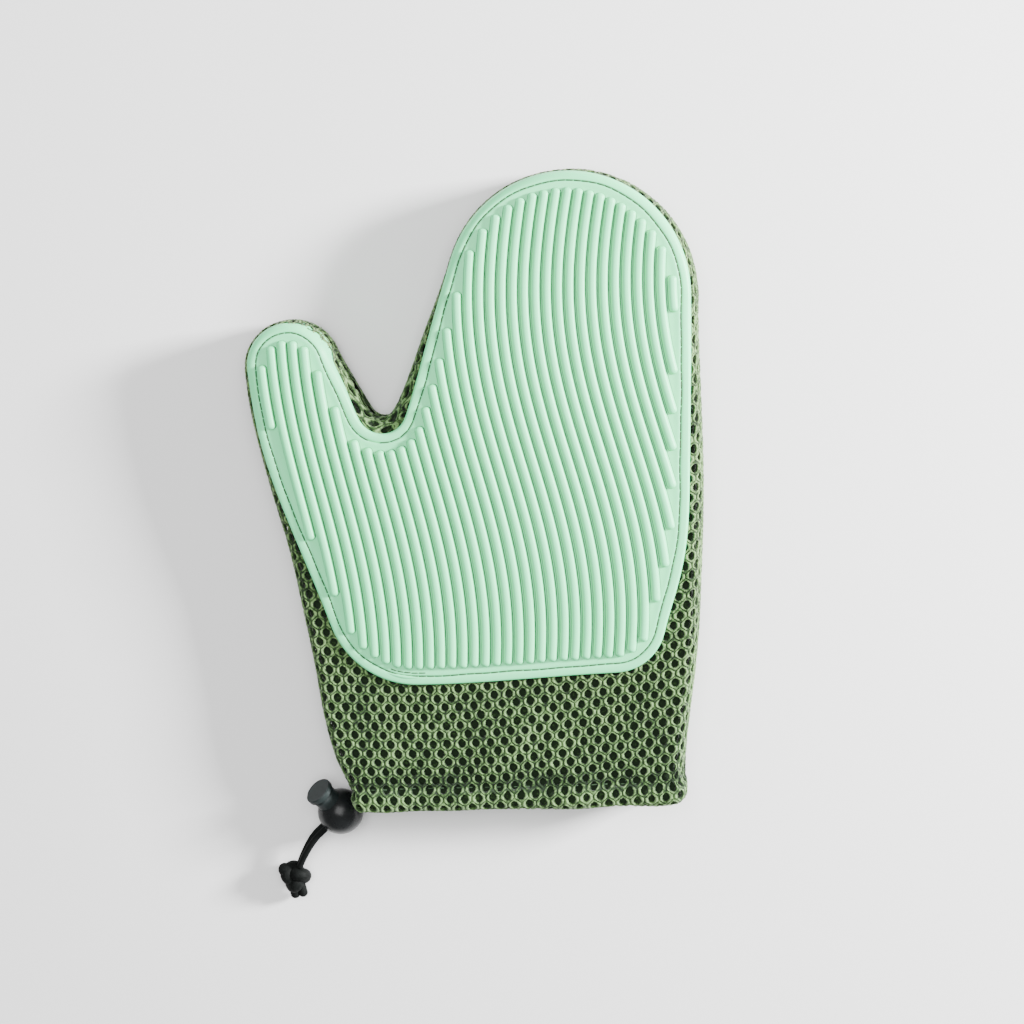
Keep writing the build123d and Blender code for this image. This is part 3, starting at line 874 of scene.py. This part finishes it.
def seam_numbers():
    """First and last place numbers of the side seam, which stops above the hem."""
    shown = np.nonzero(MITT.points[:, 1] > HEM_THREAD_Y + 2)[0]
    return shown[0], shown[-1]


def make_seam_stitches():
    """Short stitches across the side seam."""
    first, last = seam_numbers()
    numbers = np.arange(first, last, SEAM_STITCH / MITT.spacing)
    over = np.full(len(numbers), SEAM - 0.9)
    lift = np.full(len(numbers), 0.05)
    front = on_skin(MITT.at(numbers, over), lift, 1)
    back = on_skin(MITT.at(numbers + 1.6, over), lift, -1)
    vertices, faces = joined([stitch(*ends, 0.24) for ends in zip(front, back)])
    made = piece("seam_stitches", vertices, faces, SEAM_THREAD, "mitt")
    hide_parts("side_seam_thread")


def ribbon(middle, across, half_width, half_thick):
    """A flat strip with softened edges along a line."""
    section = ((-1, -0.6), (-0.93, 1), (0, 1.15), (0.93, 1), (1, -0.6), (0, -1))
    along = np.gradient(middle, axis=0)
    up = np.cross(along, across)
    up /= np.sqrt((up**2).sum(axis=1))[:, None]
    rows = [middle + across * half_width * a + up * half_thick * b for a, b in section]
    points = np.stack(rows, axis=1)
    faces = grid_faces(len(middle), len(section), True)
    faces.append(list(range(len(section)))[::-1])
    last = (len(middle) - 1) * len(section)
    faces.append([last + index for index in range(len(section))])
    return points.reshape(-1, 3), faces


def tape_end():
    """The tape's loose end, folded to a point where it peeps out of the cuff."""
    end_y = node_box("seam_binding")[0][1]
    line = resampled(np.array([(TAPE_X, y, z) for y, z in TAPE_DROOP]), 0.8)
    strip = ribbon(line, np.tile((1.0, 0.0, 0.0), (len(line), 1)), 2.0, TAPE_THICK)
    fold = -119.4
    corners = ((-3, fold), (1.5, fold), (-1.2, end_y - 0.6), (-2.6, end_y - 1.0))
    tip = [(TAPE_X + a, b, 2.75 + c) for c in (0, 2 * TAPE_THICK) for a, b in corners]
    sides = [(0, 1, 5, 4), (1, 2, 6, 5), (2, 3, 7, 6), (3, 0, 4, 7), (3, 2, 1, 0), (4, 5, 6, 7)]
    return [strip, (np.array(tip), sides)]


def make_tape():
    """Binding tape round the seam allowance inside the mitt, and its loose end."""
    first, last = seam_numbers()
    numbers = np.arange(first, last, 2.0)
    parts = tape_end()
    for level in (1, -1):
        base, normal, _, _ = MITT.at(numbers, numbers * 0)
        flat = base - normal * 1.0
        middle = np.column_stack([flat, np.full(len(flat), MIDDLE + level * TAPE_HALF)])
        across = np.column_stack([normal, np.zeros(len(normal))])
        parts.append(ribbon(middle, across, TAPE_HALF, TAPE_THICK))
    vertices, faces = joined(parts)
    made = piece("binding_tape", vertices, faces, TAPE, "mitt")
    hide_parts("seam_binding")


# ------------------------------------------------------------ drawcord
CORD = 1.25  # radius of the drawcord
UPPER_TAIL = (
    (-55.367, -116.968, 10.209), (-67.696, -128.069, 10.209),
    (-76.175, -135.704, 10.209), (-81.4, -145.6, 8.0),
)
LOWER_TAIL = (
    (-56.313, -115.918, 7.791), (-68.337, -126.745, 7.791),
    (-77.121, -134.654, 7.791), (-81.9, -145.2, 5.4),
)
HELD_LOOP = (
    (-55.367, -116.968, 10.209), (-51.057, -113.087, 10.209), (-45.5, -114.3, 19.5),
    (-33.4, -114.34, 19.5), (61.3, -114.7, 19.5), (69.05, -114.7, 19.5), (69.05, -114.7, 4.0),
    (61.3, -114.7, 4.0), (-38.7, -114.33, 4.0), (-45.5, -114.3, 4.0),
    (-52.151, -112.171, 7.791), (-56.313, -115.918, 7.791),
)


def route(points):
    """Millimetre points along the cord's NURBS line."""
    curve = bpy.data.curves.new("route", "CURVE")
    curve.dimensions = "3D"
    curve.resolution_u = 32
    spline = curve.splines.new("NURBS")
    spline.points.add(len(points) - 1)
    for control, point in zip(spline.points, points):
        control.co = (*[value * MM for value in point], 1)
    spline.order_u = 3
    spline.use_endpoint_u = True
    holder = bpy.data.objects.new("route", curve)
    line = bpy.data.meshes.new_from_object(holder)
    found = np.array([vertex.co for vertex in line.vertices]) / MM
    bpy.data.objects.remove(holder)
    bpy.data.meshes.remove(line)
    bpy.data.curves.remove(curve)
    return found


def braid_relief(carriers, lay):
    """Radius share of a braid: two sets of crossing strands."""

    def relief(turn, arc):
        first = np.abs(np.cos(carriers / 2 * turn + arc * pi / lay))
        second = np.abs(np.cos(carriers / 2 * turn - arc * pi / lay))
        return 0.9 + 0.12 * np.maximum(first, second)

    return relief


def cord_piece(name, line, node, spacing, around):
    """One run of drawcord along a line."""
    fine = resampled(line, spacing)
    vertices, faces = tube(fine, CORD, around, braid_relief(8, 1.3))
    made = piece(name, vertices, faces, BRAID, "mitt")
    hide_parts(node)
    return made


KNOT_AT = (-84.0, -150.2, 5.4)
KNOT_LOOPS = (1.2, 1.3, 1.7)  # reach of the loops across, along and up
KNOT_RADIUS = 2.75


def knot_line():
    """Centre line of the pulled-tight overhand knot."""
    turn = np.linspace(0, 2 * pi, 150)
    x = np.sin(turn) + 2 * np.sin(2 * turn)
    y = np.cos(turn) - 2 * np.cos(2 * turn)
    line = np.column_stack([x, y, -np.sin(3 * turn)]) * KNOT_LOOPS
    tilt = Matrix.Rotation(radians(-24), 3, "Z") @ Matrix.Rotation(radians(12), 3, "X")
    return line @ np.array(tilt).T + np.array(KNOT_AT)


# Centre points and radius of the left and right lobes and the two cut ends
KNOT_LOBES = (
    ((-84.6, -149.0, 6.0), (-87.6, -147.0, 6.2), (-90.0, -148.2, 5.2), 2.9),
    ((-83.0, -149.6, 5.8), (-80.6, -149.8, 5.8), (-78.6, -151.6, 4.8), 2.5),
    ((-84.6, -152.4, 5.4), (-84.9, -156.0, 4.8), (-84.6, -159.6, 3.6), 1.9),
    ((-82.4, -152.4, 5.0), (-81.8, -156.0, 4.4), (-81.5, -159.2, 3.4), 1.85),
)


def make_knot():
    """The overhand knot at the cord's end: its turns, two lobes and the two cut ends."""
    line = resampled(knot_line(), 0.3)
    parts = [tube(line, KNOT_RADIUS, 32, braid_relief(12, 2.0), 0.5)]
    for *points, radius in KNOT_LOBES:
        line = resampled(averaged(resampled(np.array(points), 0.5), 2, "edge"), 0.25)
        parts.append(tube(line, radius, 26, braid_relief(10, 1.5), 0.85))
    vertices, faces = joined(parts)
    made = piece("knot", vertices, faces, BRAID, "mitt")
    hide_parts("cord_knot")
    return made


def make_cords(on_cord):
    """The held loop inside the hem, the two free tails and the knot."""
    cord_piece("cord_in_hem", route(HELD_LOOP), "drawcord", 0.6, 16)
    knot = make_knot()
    for name, points, node, carried in (
        ("cord_tail_upper", UPPER_TAIL, "drawcord_tail_upper", [knot, *on_cord]),
        ("cord_tail_lower", LOWER_TAIL, "drawcord_tail_lower", []),
    ):
        line = route(points)
        made = cord_piece(name, line, node, 0.2, 28)


def make_lock():
    """Finishes for the lock's ball and plunger, and a steel copy of the spring."""
    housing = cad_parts["lock_housing"]
    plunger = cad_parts["lock_plunger"]
    housing.data.materials.clear()
    housing.data.materials.append(plastic_material("lock_gloss", LOCK_BLACK, 0.24, 0.32))
    plunger.data.materials.clear()
    plunger.data.materials.append(plastic_material("plunger_satin", PLUNGER_BLACK, 0.4, 0.5))
    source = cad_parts["lock_spring"].data
    spring = bpy.data.objects.new("spring", source.copy())
    bpy.context.collection.objects.link(spring)
    spring.data.materials.clear()
    spring.data.materials.append(steel_material())
    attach(spring, "lock")
    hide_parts("lock_spring")
    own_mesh(spring)
    return [housing, plunger, spring]


# ------------------------------------------------------------ floor, light and camera
def make_floor():
    """A plain pale floor."""
    half, level = 3.0, MITT_LOW[2] * MM
    mesh = bpy.data.meshes.new("floor")
    corners = [(-half, -half), (half, -half), (half, half), (-half, half)]
    mesh.from_pydata([(x, y, level) for x, y in corners], [], [(0, 1, 2, 3)])
    made = Shading("floor", 0.7)
    made.colour(made.ramp(made.noise(3, 2), ((0.3, (0.92,) * 3), (0.7, (0.94,) * 3))))
    mesh.materials.append(made.material)
    floor = bpy.data.objects.new("floor", mesh)
    bpy.context.collection.objects.link(floor)


def area_light(name, place, size, power):
    """A soft square light that faces the mitt."""
    data = bpy.data.lights.new(name, "AREA")
    data.size = size
    data.energy = power
    light = bpy.data.objects.new(name, data)
    light.location = place
    light.rotation_euler = (-Vector(place)).to_track_quat("-Z", "Y").to_euler()
    bpy.context.collection.objects.link(light)


def make_light():
    """Soft studio light, strongest from the upper right."""
    world = bpy.data.worlds.new("studio")
    world.use_nodes = True
    background = world.node_tree.nodes["Background"]
    background.inputs["Color"].default_value = (1, 1, 1, 1)
    background.inputs["Strength"].default_value = 0.5
    bpy.context.scene.world = world
    area_light("key", (1.1, 0.25, 0.42), 0.22, 76)
    area_light("top", (0.1, 0.3, 1.3), 0.9, 20)


CAMERA_TARGET = Vector((0.012, -0.0068, 0.011))
CAMERA_DISTANCE = 0.756
CAMERA_LEAN = 0.13  # sideways share of the viewing line, to the right and to the top alike
CAMERA_ROLL = radians(-3.3)


def make_camera():
    """Almost straight down on the pad, a little from the right and the top."""
    data = bpy.data.cameras.new("camera")
    data.lens = 70
    data.sensor_width = 36
    toward = Vector((CAMERA_LEAN, CAMERA_LEAN, sqrt(1 - 2 * CAMERA_LEAN**2)))
    across = Vector((0, 1, 0)).cross(toward).normalized()
    up = toward.cross(across)
    right = across * cos(CAMERA_ROLL) + up * sin(CAMERA_ROLL)
    top = up * cos(CAMERA_ROLL) - across * sin(CAMERA_ROLL)
    camera = bpy.data.objects.new("camera", data)
    place = CAMERA_TARGET + toward * CAMERA_DISTANCE
    turned = Matrix((right, top, toward)).transposed().to_4x4()
    camera.matrix_world = Matrix.Translation(place) @ turned
    bpy.context.collection.objects.link(camera)
    bpy.context.scene.camera = camera


make_mesh()
make_pad()
make_pad_stitches()
make_hem_stitches()
make_seam_stitches()
make_tape()
make_cords(make_lock())
make_floor()
make_light()
make_camera()
